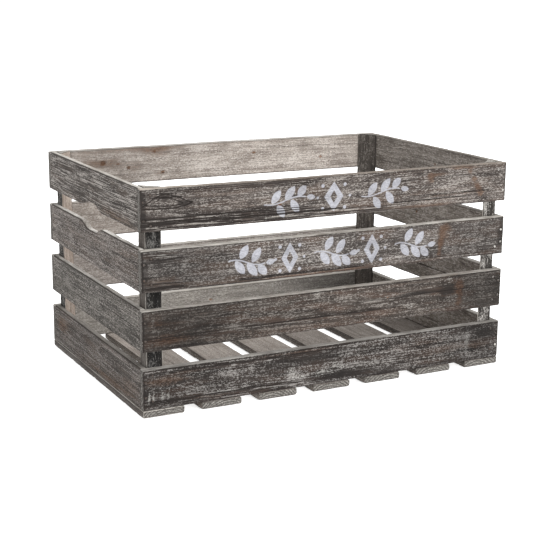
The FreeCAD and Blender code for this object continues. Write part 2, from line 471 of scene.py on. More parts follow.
def build_board(node):
    """Replaces a CAD board with a weathered one on its box."""
    kind = node.split("_slat_")[0]
    board = SimpleNamespace(**{**BOARD, **KINDS[kind], **BOARDS[node]})
    low, high = box_mm(node)
    board.axes = np.array(board.axes, float)
    board.seed = seed = float(board.seed)
    board.centre = (low + high) / 2.0
    size = np.abs(board.axes @ (high - low))
    board.half = size / 2.0
    board.nails = heads_on(board)
    along, across, through = BOARD_STEPS
    board.raw, faces = box_lattice(stations(size[0], along, fine_spans(board)),
                                   stations(size[1], across), stations(size[2], through))
    board.side_x, board.side_y, board.side_z = np.sign(board.raw.T)
    board.inset = board.half - np.abs(board.raw)
    board.on_end = board.inset[:, 0] < 1e-6
    board.on_edge = (board.inset[:, 1] < 1e-6) & ~board.on_end
    board.outside = np.where(board.side_z * board.inside <= 0, 1.0, 0.0)

    points, normals = eased_box(board)
    if board.notch:
        half_width = board.half[1]
        points[:, 1] += (board.notch * notch_depth(points[:, 0] * board.back)
                         * (half_width - board.notch * points[:, 1]) / (2 * half_width))
    board.x, board.y, board.z = x, y, z = points.T
    board.ring, board.knot = ring_fields(x, y, z, board.pith, board.knots, seed)
    crack, opening = crack_fields(x, y, seed, board.cracks, board.lenses)
    if board.crack_side:
        opening = opening * np.where(board.side_z * board.crack_side > 0, 1.0, 0.15)
    if board.cracks_out:
        outer = crack_fields(x, y, seed + 50.0, board.cracks_out)
        crack = np.where(board.outside > 0, outer[0], crack)
        opening = np.where(board.outside > 0, outer[1], opening)
    board.crack, board.opening = crack, opening
    board.open_grain = np.clip(board.groove + patches(x, y, board.grooves, seed), 0, 1.6)

    points = points - normals * board_relief(board)[:, None]
    warp(board, points)
    add_piece(node + "_wood", node, points @ board.axes + board.centre, [faces],
              board_fields(board), wood_material(node + "_finish", board.tone))


# -------------------------------------------------------------- materials
def linear(rgb):
    """8-bit sRGB to linear RGBA."""
    parts = [c / 255.0 for c in rgb]
    return (*[c / 12.92 if c <= 0.04045 else ((c + 0.055) / 1.055) ** 2.4 for c in parts], 1.0)


class Value:
    """A shader output; arithmetic on it adds maths nodes."""

    def __init__(self, net, socket):
        self.net, self.socket = net, socket

    def __add__(self, other):
        return self.net.math("ADD", self, other)

    def __sub__(self, other):
        return self.net.math("SUBTRACT", self, other)

    def __rsub__(self, other):
        return self.net.math("SUBTRACT", other, self)

    def __mul__(self, other):
        return self.net.math("MULTIPLY", self, other)

    def __abs__(self):
        return self.net.math("ABSOLUTE", self)

    def times_plus(self, factor, addend):
        return self.net.math("MULTIPLY_ADD", self, factor, addend)

    def fraction(self):
        return self.net.math("FRACT", self)

    @property
    def sway(self):
        """A noise layer about zero."""
        return self - 0.5

    def step(self, start, end, to=(0.0, 1.0)):
        """Eased from to[0] at start to to[1] at end."""
        return self.net.add("ShaderNodeMapRange", {0: self, 1: start, 2: end, 3: to[0], 4: to[1]},
                            interpolation_type="SMOOTHSTEP")


class Net:
    """One material's nodes."""

    def __init__(self, name):
        self.material = bpy.data.materials.new(name)
        self.material.use_nodes = True
        self.tree = self.material.node_tree
        self.tree.nodes.clear()
        output = self.tree.nodes.new("ShaderNodeOutputMaterial")
        self.shader = self.tree.nodes.new("ShaderNodeBsdfPrincipled")
        self.tree.links.new(self.shader.outputs[0], output.inputs[0])

    def fill(self, node, inputs):
        for key, value in inputs.items():
            if isinstance(value, Value):
                self.tree.links.new(value.socket, node.inputs[key])
            else:
                node.inputs[key].default_value = value

    def add(self, node_type, inputs, output=0, **settings):
        node = self.tree.nodes.new(node_type)
        for key, setting in settings.items():
            setattr(node, key, setting)
        self.fill(node, inputs)
        return Value(self, node.outputs[output])

    def math(self, operation, first, second=0.0, third=None):
        inputs = {0: first, 1: second}
        if third is not None:
            inputs[2] = third
        return self.add("ShaderNodeMath", inputs, operation=operation)

    def attribute(self, name):
        return self.add("ShaderNodeAttribute", {}, "Vector", attribute_name=name)

    def parts(self, name):
        """The three numbers of a vector attribute."""
        first = self.add("ShaderNodeSeparateXYZ", {0: self.attribute(name)})
        return [Value(self, socket) for socket in first.socket.node.outputs]

    def noise(self, place, along, across, detail, rough, distort=0.0, shift=(0, 0, 0)):
        """Noise with a cell of along by across mm; mean about 0.5."""
        scaled = self.add("ShaderNodeVectorMath",
                          {0: place, 1: (1.0 / along, 1.0 / across, 1.0 / across), 2: shift},
                          operation="MULTIPLY_ADD")
        return self.add("ShaderNodeTexNoise",
                        {"Vector": scaled, "Scale": 1.0, "Detail": detail,
                         "Roughness": rough, "Distortion": distort})

    def mix(self, share, under, over):
        """Colours are values or 8-bit sRGB."""
        under, over = (c if isinstance(c, Value) else linear(c) for c in (under, over))
        return self.add("ShaderNodeMix", {0: share, 6: under, 7: over}, output=2,
                        data_type="RGBA", clamp_factor=True)

    def bump(self, height, strength, distance):
        return self.add("ShaderNodeBump",
                        {"Strength": strength, "Distance": distance, "Height": height})

    def surface(self, inputs):
        self.fill(self.shader, inputs)
        return self.material


# Noise layers of the wood: cell along and across the grain in mm, detail,
# roughness, distortion, shift.  A tone's NAME_size replaces the cell.
WOOD_NOISE = dict(
    fine=(24.0, 1.1, 3, 0.6, 0.0, (0, 0, 0)),            # fibre
    streak=(95.0, 4.2, 3, 0.6, 0.2, (3, 7, 1)),          # bands
    blotch=(46.0, 20.0, 3, 0.6, 0.3, (9, 2, 5)),
    tint=(70.0, 12.0, 2, 0.5, 0.0, (1, 8, 3)),
    fleck=(3.7, 1.5, 2, 0.62, 0.5, (4, 4, 9)),
    grit=(1.15, 0.95, 1, 0.5, 0.0, (2, 6, 6)),
    saw=(1.9, 30.0, 2, 0.6, 0.0, (6, 1, 2)),             # saw marks
    thread=(85.0, 1.45, 2, 0.6, 0.15, (2, 9, 4)),        # long fine lines
    worm=(6.5, 2.7, 1, 0.5, 0.4, (7, 3, 3)))

# The most that each layer hides of what is under it.
COVER = dict(late=0.85, hair=0.7, soot=0.78, smear=0.8, knot=0.85, paint=0.88, arc=0.75,
             dull=0.85, bare=0.9, crack=0.92)

# Colours that no board changes.
SMEAR, DULL, CRACK = (186, 184, 178), (112, 102, 92), (34, 28, 25)
KNOT, PAINT = ((84, 56, 38), (136, 100, 74)), ((168, 169, 177), (192, 193, 201))

# The looks of a board; each board changes some of them.
TONE = dict(
    # show side: ground colours, dark grain lines, whitewash, pits, stains
    dark=(58, 52, 49), mid=(97, 89, 84), warm=(90, 77, 69), line=(42, 35, 32),
    fleck=(168, 163, 158), pit_col=(38, 33, 30), soot=(40, 36, 34),
    rust=(93, 61, 40), rust_hi=(124, 92, 64),
    # inner side, end grain, bare wood on worn arrises
    in_dark=(158, 144, 134), in_mid=(186, 172, 162), in_fleck=(214, 206, 198),
    end_lo=(80, 76, 72), end_hi=(148, 144, 139), end_arc=(50, 45, 41),
    bare_lo=(150, 144, 136), bare=(196, 192, 185),
    # strength of late wood, fine lines, whitewash, pits, brown, line below the worn band
    late=0.62, thread=0.5, wash=0.85, pit=0.55, rust_amt=0.78, under=0.5,
    # whitewash: level it starts at, more of that inside, width of its edge,
    # and what worms, fine lines and blotches change of it
    cut=0.575, in_cut=0.0, soft=0.06, worm=0.45, strand=0.34, patchy=0.15,
    rub=0.46)      # wear at which the wood is rubbed bare


def wood_layers(net, tone):
    """The mesh's fields and the noise layers."""
    at = SimpleNamespace()
    at.ring, at.groove, at.stencil = net.parts("wa")
    at.white, at.dark, at.brown = net.parts("wb")
    at.inner, at.end, at.wear = net.parts("wc")
    at.crack, at.opening, at.knot = net.parts("wd")
    at.gain, _, at.shade = net.parts("we")
    place = net.attribute("gc")
    for name, (along, across, *rest) in WOOD_NOISE.items():
        size = getattr(tone, name + "_size", (along, across))
        setattr(at, name, net.noise(place, *size, *rest))
    # where the grain is open the flecks follow the fibre
    open_grain = at.groove.step(start=0.55, end=1.15)
    at.fleck = (at.fine.sway.times_plus(1.25, 0.5) - at.fleck).times_plus(
        open_grain * 0.8, at.fleck)
    at.worm = abs(at.worm.sway)
    at.ring_part = at.fine.sway.times_plus(0.25, at.ring).fraction()
    at.late = at.ring_part.step(start=0.42, end=0.92) * at.ring_part.step(start=1.0, end=0.93)
    return at


def ground(net, tone, at):
    """Bare ground colour with its late wood and fine dark lines."""
    body = net.mix((at.blotch * 0.6 + at.streak * 0.4).step(start=0.36, end=0.64),
                   tone.dark, tone.mid)
    body = net.mix(at.tint.step(start=0.45, end=0.72), body, tone.warm)
    inside = net.mix((at.blotch * 0.5 + at.streak * 0.5).step(start=0.34, end=0.66),
                     tone.in_dark, tone.in_mid)
    body = net.mix(at.inner, body, inside)
    late = at.late * (at.groove * tone.late)
    body = net.mix(late, body, net.mix(COVER["late"], body, tone.line))
    hair = (at.thread.step(start=0.47, end=0.36)
            * at.inner.times_plus(-0.6 * tone.thread, tone.thread))
    return net.mix(hair, body, net.mix(COVER["hair"], body, tone.line))


def whitewash(net, tone, at, body):
    """Wash left in the open pores, thicker where wood was soft, and pits."""
    soft_wood = (at.ring_part.step(start=0.0, end=0.35, to=(1.0, 0.0)) - 0.4) * at.groove * 0.07
    wash = (at.fleck * 0.62 + at.grit * 0.26 - (at.worm - 0.07) * tone.worm + at.fine * 0.22
            + at.thread.sway * at.inner.times_plus(-0.5 * tone.strand, tone.strand)
            + at.blotch.sway * tone.patchy + soft_wood + at.saw.sway * 0.09
            + at.white * 0.08 - at.dark * 0.06)
    flecks = (wash - at.inner.times_plus(tone.in_cut, tone.cut)).step(start=-0.015, end=tone.soft)
    body = net.mix(flecks * tone.wash, body, net.mix(at.inner, tone.fleck, tone.in_fleck))
    pit = (at.fleck * 0.7 + at.grit * 0.3).step(start=0.435, end=0.35)
    return net.mix(pit * tone.pit, body, tone.pit_col)


def stains(net, tone, at, body):
    """Dark, brown and white stains, then the knots."""
    wet = (at.dark * 0.8 + at.fleck.sway * 0.9).step(start=0.10, end=0.80)
    body = net.mix(wet * COVER["soot"], body, tone.soot)
    rust = (at.brown * 0.8 + at.streak.sway * 0.7
            + (at.fleck.sway * 0.9 + at.thread.sway * 0.5)).step(start=0.14, end=0.82)
    body = net.mix(rust * tone.rust_amt, body,
                   net.mix(at.fleck.step(start=0.42, end=0.62), tone.rust, tone.rust_hi))
    smear = at.white * 0.30 + at.fleck.sway * 0.95 + at.grit.sway * 0.35
    smear = smear.step(start=0.22, end=0.40) * at.white.step(start=0.02, end=0.25)
    body = net.mix(smear * COVER["smear"], body, SMEAR)
    knot_ring = (at.ring * 1.7).fraction().step(start=0.3, end=0.9)
    return net.mix(at.knot * COVER["knot"], body, net.mix(knot_ring, *KNOT))


def motif_paint(at):
    """How much of the stencil's paint is left."""
    ragged = at.fleck.sway.times_plus(1.9, at.grit.sway.times_plus(1.2, at.stencil))
    paint = ragged.step(start=0.30, end=-0.30)
    rubbed = (at.fine * 0.55 + at.grit * 0.45).step(start=0.30, end=0.47, to=(0.62, 1.0))
    thin = at.blotch.step(start=0.30, end=0.60, to=(0.72, 1.0))
    return paint * (rubbed * thin)


def end_grain(net, tone, at, body):
    """Ring arcs on the sawn ends."""
    part = at.grit.sway.times_plus(0.4, at.ring * 1.0).fraction()
    arc = part.step(start=0.30, end=0.75) * part.step(start=1.0, end=0.86)
    end = net.mix(at.fleck.step(start=0.36, end=0.64), tone.end_lo, tone.end_hi)
    return net.mix(at.end, body, net.mix(arc * COVER["arc"], end, tone.end_arc))


def worn_edges(net, tone, at, body):
    """Worn arrises, the bleached upper edge and the dark line under it."""
    rubbed = at.wear + at.fleck.sway * 0.35 + at.streak.sway * 0.9
    rubbed = rubbed.step(start=tone.rub, end=tone.rub + 0.28)
    pale = (at.fine * 0.45 + (at.thread * 0.25 + at.blotch * 0.3)).step(start=0.40, end=0.58)
    bare = net.mix(pale, tone.bare_lo, tone.bare)
    dull = (at.shade + at.fleck.sway * 1.2).step(start=0.15, end=0.85)
    bare = net.mix(dull * COVER["dull"], bare, DULL)
    rubbed = rubbed * (1.0 - dull * 0.35)
    body = net.mix(rubbed * COVER["bare"], body, bare)
    # a dark line where the wear is slight; on the bottom slats after the first it is painted shade
    # along the arrises
    under = at.wear.step(start=0.03, end=0.20) * at.wear.step(start=0.55, end=0.34)
    return net.mix(under * tone.under, body, tone.line)


def wood_material(name, changes):
    """Weathered, once whitewashed wood, with the tone's changes."""
    net, tone = Net(name), SimpleNamespace(**{**TONE, **changes})
    at = wood_layers(net, tone)
    body = ground(net, tone, at)
    body = whitewash(net, tone, at, body)
    body = stains(net, tone, at, body)
    # how light or dark this stretch of board is: partly its own tone, partly painted light and
    # shade
    body = net.add("ShaderNodeVectorMath", {0: body, "Scale": at.gain}, operation="SCALE")
    paint = motif_paint(at)
    body = net.mix(paint * COVER["paint"], body,
                   net.mix(at.fleck.step(start=0.38, end=0.62), *PAINT))
    body = end_grain(net, tone, at, body)
    body = worn_edges(net, tone, at, body)
    crack = at.fleck.sway.times_plus(0.35, abs(at.crack)).step(
        start=at.opening.times_plus(0.32, 0.14), end=at.opening.times_plus(0.14, 0.02))
    crack = crack * at.opening.step(start=0.05, end=0.45)
    body = net.mix(crack * COVER["crack"], body, CRACK)

    rough = (at.fleck * 0.5 + at.fine * 0.5).step(start=0.3, end=0.7, to=(0.72, 0.95))
    height = (at.fine * 0.55 + at.fleck * 0.55 + at.grit * 0.25 + at.late * 0.25
              - crack * 1.6 + paint * 0.15)
    return net.surface({
        "Base Color": body,
        "Roughness": rough - paint * 0.14 * 1.0,
        "Specular IOR Level": 0.28,
        "Normal": net.bump(height, strength=0.55, distance=0.0006)})


def steel_material(name):
    """Old wire-nail steel: dull grey, rust bloom, wash left on some heads."""
    net = Net(name)
    place = net.attribute("gc")
    head, wash, _ = net.parts("wa")
    fine = net.noise(place, along=0.5, across=0.5, detail=3, rough=0.6)
    big = net.noise(place, along=1.6, across=1.6, detail=3, rough=0.6, distort=0.4,
                    shift=(5, 1, 2))
    body = net.mix(big.step(start=0.38, end=0.62), (62, 59, 57), (104, 101, 98))
    rust = (big * 0.5 + fine * 0.5).step(start=0.46, end=0.60)
    rust_colour = net.mix(fine.step(start=0.4, end=0.6), (60, 42, 33), (98, 70, 52))
    body = net.mix(rust * 0.8, body, rust_colour)
    cover = (wash * 0.75 + big.sway * 0.9).step(start=0.35, end=0.60)
    body = net.mix(cover * head, body, (196, 192, 186))
    return net.surface({
        "Base Color": body,
        "Metallic": (1.0 - net.math("MAXIMUM", rust, cover)) * 0.85,
        "Roughness": (fine * 0.5 + big * 0.5).step(start=0.35, end=0.65, to=(0.45, 0.9)),
        "Normal": net.bump(fine * 0.5 + rust * 0.5, strength=0.5, distance=0.00015)})


def floor_material(name):
    """White, and a little brighter to the camera than its light makes it."""
    net = Net(name)
    seen = net.add("ShaderNodeLightPath", {}, "Is Camera Ray")
    return net.surface({
        "Base Color": (0.93, 0.93, 0.93, 1), "Roughness": 0.9, "Specular IOR Level": 0.1,
        "Emission Color": (1.0, 1.0, 1.0, 1), "Emission Strength": seen * 0.66})


# ----------------------------------------------------------- board tables
# What a board has unless its kind or its own entry says otherwise.
BOARD = dict(
    slot="side_slat_wood",
    inside=-1,            # side of z that faces into the crate
    notch=0,              # hand notch: 1 in the lower edge, -1 in the upper
    bow_at=0,             # x of the deepest bow across; bow is (out, across) mm
    chips=1.3, corner=0.9, rough=1.0,       # mm, mm, share of the relief
    crack_side=1,         # side of z the cracks are open on, 0 for both
    cracks=(), lenses=(), cracks_out=(), knots=(), motif=None,
    # patches: open grain, stains outside and inside, lightness (partly painted light and shade),
    # dull upper edge
    grooves=(), white=(), dark=(), brown=(), white_in=(), dark_in=(), brown_in=(),
    gains_out=(), gains_in=(), top_shade=(),
    gain_out=1.0, gain_in=1.0, side_gain=1.0,   # lightness of each side and the edges, partly painted light and shade
    inner_edge=0.25,      # how much edges and ends look like the inner side
    iron=(0.5, 0.5),      # stain round the heads at -x and at +x
    wear=(0.55, 1.0),     # wear of the arrises and of the upper edge
    outer_line=0.0)       # dark line along the outer side of the upper edge

BOTTOM_TONE = dict(
    dark=(86, 80, 75), mid=(124, 117, 110), warm=(104, 92, 83), line=(66, 58, 53),
    fleck=(168, 163, 157), pit_col=(48, 42, 39), soot=(70, 63, 55),
    in_dark=(160, 151, 143), in_mid=(190, 181, 173), in_fleck=(214, 207, 200), in_cut=0.01,
    end_lo=(80, 77, 72), end_hi=(168, 164, 158), end_arc=(54, 49, 45))

# Axes: the board's x, y and z in the crate.  back: side of x toward the
# crate's back.
KINDS = {
    "front": dict(axes=((1, 0, 0), (0, 0, 1), (0, -1, 0))),
    "back": dict(axes=((-1, 0, 0), (0, 0, 1), (0, 1, 0)), crack_side=-1),
    "left_end": dict(axes=((0, -1, 0), (0, 0, 1), (-1, 0, 0)), back=-1,
                     outer_line=1.1, iron=(0.3, 0.3)),
    "right_end": dict(axes=((0, 1, 0), (0, 0, 1), (1, 0, 0)), back=1,
                      outer_line=0.8, crack_side=0, groove=0.45, bow=(0.1, 0.1)),
    "bottom": dict(axes=((0, 1, 0), (-1, 0, 0), (0, 0, 1)), slot="bottom_slat_wood",
                   groove=0.30, bow=(0.2, 0.1), inside=1, inner_edge=0.30, crack_side=0,
                   rough=0.85, chips=2.0, corner=2.6, tone=BOTTOM_TONE),
}

# Rows: patches (x, y, half length, half width, amount); cracks (start, end,
# y, slope, wander, opening); knots (x, y, radius); pith (y, z, slope, ring
# width); motif (start, end, low, high, count, flip).
BOARDS = {}

# Front: -300 is at the crate's left, +300 at its right.  Each board's gain_out and gains_out are
# partly painted light and shade, partly the wood's own tone.
BOARDS["front_slat_1"] = dict(
    seed=11, pith=(10, -30, 0.05, 4.6), groove=0.30, bow=(0.2, -0.7), bow_at=-90, chips=1.1,
    grooves=[(-210, -20, 200, 13, 1.2), (-20, -24, 210, 7, 0.9), (-60, 25, 200, 4, 0.7)],
    knots=[(-92, -6, 2.6)],
    cracks=[
        (-299, -120, -11.5, 0.014, 0.9, 0.7), (-299, -30, -16.2, 0.010, 0.8, 1.2),
        (-299, 10, -20.6, 0.008, 0.8, 1.15), (-299, 90, -25.4, 0.004, 0.6, 1.2),
        (-299, -10, 24.6, 0.004, 0.5, 0.6), (70, 180, 22.6, 0.004, 0.6, 0.45),
        (110, 285, -10.5, 0.006, 0.8, 0.5), (90, 240, -17.5, 0.004, 0.6, 0.55),
        (190, 296, 14, -0.004, 0.6, 0.4)],
    lenses=[
        (((-297, 4.5), (-290, 9), (-284, 12.7), (-276, 17.6), (-270, 19.6), (-262, 20),
          (-252, 17.8), (-240, 13.2), (-231, 9), (-224, 6.8)),
         ((-297, 2), (-280, 1.2), (-262, 0.9), (-247, 1.1), (-236, 2.4), (-224, 6.8)), 1.35),
        (((-286, 6.5), (-279, 10.5), (-271, 14.8), (-262, 15.8), (-252, 13), (-244, 9.6),
          (-237, 6.6)),
         ((-286, 6.5), (-272, 5), (-262, 4.2), (-250, 4), (-243, 4.8), (-237, 6.6)), 0.8)],
    iron=(1.0, 0.35), top_shade=[(-60, 29, 170, 14, 0.75), (210, 29, 120, 14, 0.6)],
    dark=[
        (-299.5, 0, 2.6, 60, 1.5), (-294, 0, 5, 26, 0.6), (-235, 7, 12, 5, 1.1),
        (-264, 14, 5, 5, 0.8), (-130, 24, 60, 4, 0.5), (-295.2, 20.4, 3, 3.4, 1.4),
        (-295.5, 3.6, 3, 3, 1.2), (-295.7, -6.5, 3, 3, 1.3), (-295, -22.7, 3.2, 3, 1.2),
        (140, 24, 8, 5, 0.6), (299, 0, 3, 40, 0.5), (-110, -27, 150, 3.5, 0.35)],
    brown=[
        (163, 14, 7, 9, 1), (176, 18, 14, 3, 0.75), (233, 19, 4.5, 6, 0.7),
        (240, 8, 5, 6, 0.98), (246, -3, 5, 7, 1.02), (252, -13, 4.6, 7, 0.98),
        (200, -13, 70, 1.8, 0.55), (170, -19, 60, 1.6, 0.45), (215, -4, 50, 1.6, 0.4),
        (-180, 14, 46, 11, 0.34), (218, 27, 30, 4, 0.8), (150, -27, 60, 3, 0.7),
        (130, -8, 26, 3, 0.45), (-150, -2, 30, 8, 0.30)],
    white=[
        (-284, 22, 14, 5, 0.5), (-190, -13.9, 120, 1.5, 0.42), (-210, -18.4, 110, 1.5, 0.45),
        (-180, -23, 130, 1.5, 0.5), (-60, -25, 90, 2, 0.45), (-268, 9, 12, 5, 0.30),
        (60, 2, 60, 16, 0.18), (291, 12, 5, 9, 0.55), (226, -8, 5, 4, 0.6),
        (152, 22, 3, 8, 0.5), (150, -24, 30, 3, 0.45), (-112, -20, 1.6, 9, 0.5)],
    motif=(-122, 114, -24, 22, 3, 1),
    gain_out=1.035,
    gains_out=[(250, -5, 90, 60, 0.12), (-250, 0, 80, 60, -0.17), (10, 0, 110, 60, 0.04)],
    tone=dict(bare=(176, 167, 157), bare_lo=(100, 89, 79), rub=0.60, late=0.8, pit=0.45,
              thread=0.42, fleck=(165, 159, 153), rust=(80, 61, 50), rust_hi=(106, 85, 70),
              rust_amt=0.86, fleck_size=(3.6, 1.2), worm_size=(6.2, 2.2)))
BOARDS["front_slat_2"] = dict(
    seed=23, pith=(-4, -44, 0.02, 3.9), groove=0.30, bow=(0.1, -0.6), bow_at=-90, chips=1.0,
    grooves=[(-275, 16, 46, 12, 0.9), (-268, -20, 46, 9, 0.9), (-40, -27, 240, 3, 0.6)],
    cracks=[
        (-298, -240, 20, 0, 0.4, 0.7), (-298, -226, 15.2, 0, 0.5, 0.6),
        (-298, -218, -18.8, 0.01, 0.4, 0.7), (-298, -230, -24, 0, 0.5, 0.8),
        (-160, 60, -25.2, 0.003, 0.6, 0.5), (120, 299, -21.2, 0.004, 0.7, 0.4)],
    iron=(0.8, 0.3),
    dark=[
        (-299.5, 0, 2.6, 60, 1.5), (-294, 0, 7, 28, 0.5), (296, 4, 9, 30, 0.75),
        (270, -20, 20, 7, 0.4), (120, 24, 150, 3, 0.3), (181, -4, 2, 20, 0.55),
        (187, -8, 2.2, 7, 0.5), (193, 10, 2, 7, 0.35)],
    brown=[
        (190, 20, 11, 9, 0.94), (187, 7, 7.5, 9, 0.82), (184, -6, 6, 9, 0.92),
        (182, -20, 5, 7, 0.78), (197, 4, 3, 7, 0.5), (-268, -16, 30, 9, 0.62),
        (-120, -27, 130, 3, 0.5), (30, -28, 130, 2.5, 0.5), (-215, 22, 30, 5, 0.4)],
    white=[
        (-82, 22, 1.6, 12, 0.8), (-115, 20, 1.6, 12, 0.6), (-270, 20, 26, 3, 0.7),
        (190, 3, 2, 22, 0.25), (-272, -8, 20, 2, 0.5)],
    motif=(-176, 164, -24.5, 23.5, 5, -1),
    gains_out=[(-250, 0, 90, 60, -0.46), (262, 0, 80, 60, -0.28), (10, 0, 110, 60, 0.12)],
    tone=dict(dark=(62, 57, 54), mid=(98, 91, 87), bare=(184, 180, 173),
              bare_lo=(118, 112, 105), pit=0.48, rust=(82, 59, 45), rust_hi=(110, 87, 70),
              rust_amt=0.86, fleck_size=(3.6, 1.25), worm_size=(6.2, 2.3)))
BOARDS["front_slat_3"] = dict(
    seed=37, pith=(0, -28, 0.03, 4.4), groove=0.42, bow=(-0.1, -0.2), chips=1.2,
    grooves=[(-60, -12, 200, 10, 0.5), (110, 5, 120, 7, 0.7)],
    knots=[(92, 6, 1.8)],
    cracks=[
        (30, 250, 4.5, 0.012, 1.4, 0.9), (-100, 120, -9.5, 0.006, 0.9, 0.55),
        (-299, -170, -14.5, 0, 0.6, 0.7), (-150, -20, -11, 0, 0.6, 0.5),
        (-299, -200, -25.5, 0, 0.5, 0.7), (-299, 299, 26.2, 0, 0.6, 0.55)],
    iron=(0.6, 0.5), top_shade=[(150, 29, 160, 14, 0.3)],
    dark=[
        (-299.5, 0, 2.6, 60, 1.4), (200, 4, 14, 7, 1.25), (158, 7, 34, 4, 0.9),
        (110, 6, 30, 3, 0.4), (-140, 11, 16, 6, 0.4), (-294, 0, 7, 28, 0.4),
        (-262, 10, 26, 14, 0.45), (294, -6, 12, 26, 0.5), (255, -22, 40, 6, 0.5)],
    brown=[
        (-258, -14, 34, 6.5, 0.85), (221, 10, 9, 12, 0.95), (221, -12, 7, 14, 0.8),
        (-220, 14, 40, 9, 0.35), (-110, -21, 130, 7, 0.42), (90, -16, 90, 9, 0.30),
        (60, 20, 120, 7, 0.22), (-280, 12, 14, 14, 0.45)],
    white=[
        (-28, 24, 7, 7, 0.75), (203, 21, 6, 8, 0.7), (-140, 10, 14, 7, 0.5),
        (132, -12, 8, 6, 0.8), (-283, 10, 3, 20, 0.6), (92, 6, 4, 4, 0.9),
        (236, -24, 12, 3, 0.5)],
    gains_out=[(-250, 0, 90, 60, -0.58), (-120, 0, 90, 60, -0.22), (262, 0, 70, 60, -0.57)],
    tone=dict(dark=(52, 46, 42), mid=(89, 81, 75), warm=(86, 70, 61), fleck=(150, 144, 138),
              rust=(76, 50, 36), rust_hi=(108, 80, 60), bare=(168, 164, 158),
              bare_lo=(104, 97, 90)))
BOARDS["front_slat_4"] = dict(
    seed=41, pith=(14, -26, 0.045, 5), groove=0.42, bow=(0.25, 0), chips=1.5,
    grooves=[(-150, -22, 160, 7, 0.8), (-70, 18, 160, 8, 0.5)],
    cracks=[
        (-40, 60, -13.2, 0.03, 1.3, 1), (-299, -110, 20.5, 0.006, 0.9, 0.8),
        (-299, -60, -19, -0.01, 1, 0.9), (-299, -90, -24, -0.004, 0.8, 0.8),
        (130, 299, 4, -0.05, 1.6, 0.5), (-120, 20, 22.5, 0, 0.7, 0.5),
        (-299, 299, 26.2, 0, 0.5, 0.5)],
    iron=(0.6, 0.5),
    dark=[
        (-299.5, 0, 2.6, 60, 1.4), (-40, 14, 60, 12, 0.65), (0, -19, 44, 7, 0.85),
        (-270, -12, 28, 12, 0.45), (-110, 0, 44, 18, 0.35), (276, 14, 20, 9, 0.8),
        (205, -26, 50, 4, 0.7), (96, -27, 24, 4, 0.8), (-294, 0, 7, 28, 0.35),
        (240, 22, 20, 6, 0.5), (60, -20, 50, 7, 0.5)],
    brown=[
        (-262, 10, 36, 7, 0.70), (150, 8, 60, 8, 0.35), (262, -6, 24, 10, 0.55),
        (-215, -22, 60, 5, 0.55), (-60, 24, 90, 4, 0.5), (150, -10, 60, 12, 0.25),
        (-230, 20, 30, 4, 0.4), (210, -4, 40, 9, 0.3)],
    white=[
        (-68, -3, 9, 8, 1), (-60, -14, 14, 5, 0.9), (-20, -13, 26, 4.5, 1.05),
        (10, -5, 14, 6, 0.8), (-291, -11, 2.2, 8, 1.6), (-284, -11, 2, 9, 1.4),
        (-270, -10, 2, 8, 1.6), (-262, -10, 1.8, 7, 1.3), (-190, -18, 24, 5, 0.6),
        (-82, 18, 2.5, 10, 0.7), (240, 6, 3.5, 24, 0.95), (60, -8, 60, 9, 0.28),
        (-160, 8, 16, 14, 0.25), (-172, -17, 22, 1.8, 0.8), (-134, 14, 4, 9, 0.4),
        (178, -6, 3, 14, 0.5)],
    gain_out=0.91,
    gains_out=[(-250, 0, 90, 60, -0.30), (266, 6, 60, 50, -0.46), (0, 0, 60, 60, -0.16),
               (150, 0, 90, 60, -0.12)],
    tone=dict(dark=(42, 37, 34), mid=(78, 71, 67), warm=(74, 61, 54), fleck=(170, 166, 162),
              rust=(76, 54, 40), rust_hi=(106, 82, 65), fleck_size=(2.9, 1.4),
              worm_size=(4.6, 2.4), soft=0.045, thread=0.6, bare=(150, 147, 142),
              bare_lo=(104, 100, 96)))

# Back: x runs toward the crate's left.  Each board's gain_in and gains_in are partly painted light
# and shade, partly the wood's own tone.
BEIGE = dict(in_dark=(152, 142, 134), in_mid=(190, 180, 171), in_fleck=(220, 213, 206), pit=0.62)
BOARDS["back_slat_1"] = dict(
    seed=53, pith=(-2, -40, 0.03, 4.3), groove=0.22, bow=(0.2, 0.3),
    knots=[(212, 6, 4.2), (168, -4, 3), (186, 3, 1.6), (108, -15, 2.6), (122, 20, 2.6),
           (-60, 8, 2.2), (-190, -6, 2.6)],
    brown_in=[
        (205, 4, 26, 9, 0.65), (160, -2, 20, 8, 0.45), (118, 18, 30, 7, 0.55),
        (110, -15, 14, 5, 0.5), (240, 10, 24, 14, 0.5), (150, 24, 90, 4, 0.5),
        (-20, 26, 200, 3, 0.35)],
    dark_in=[
        (268, 12, 5, 20, 0.8), (120, 29, 190, 2, 0.55), (212, 0, 30, 3, 0.5),
        (182, -10, 5, 8, 0.5), (240, -12, 24, 3, 0.45)],
    white_in=[
        (172, -8, 8, 7, 0.8), (226, 14, 24, 5, 0.5), (250, -6, 12, 6, 0.5),
        (40, 0, 80, 20, 0.25), (-120, 0, 90, 20, 0.25)],
    cracks=[(-260, -60, 14, 0.01, 1, 0.35), (40, 230, -16, 0, 0.9, 0.3)],
    gain_in=0.98, gains_in=[(230, 0, 110, 90, -0.20), (-150, 0, 150, 90, 0.14)],
    tone=dict(BEIGE, bare=(184, 181, 176), thread=0.95, strand=0.7, patchy=0.3))
BOARDS["back_slat_2"] = dict(
    seed=59, pith=(8, -38, 0.02, 4.6), groove=0.22, bow=(-0.1, 0.2),
    knots=[(-120, 8, 2.4), (60, -12, 2)],
    cracks=[(-200, 40, -8, 0.01, 1, 0.3)], gain_in=0.82, tone=BEIGE)
BOARDS["back_slat_3"] = dict(
    seed=61, pith=(-10, -36, 0.03, 4), groove=0.24, bow=(0.15, 0),
    knots=[(150, 6, 2.2)], cracks=[(-230, -20, 10, 0, 1, 0.3)], gain_in=0.92,
    tone=dict(in_dark=(140, 132, 126), in_mid=(170, 162, 156), in_fleck=(200, 194, 188)))
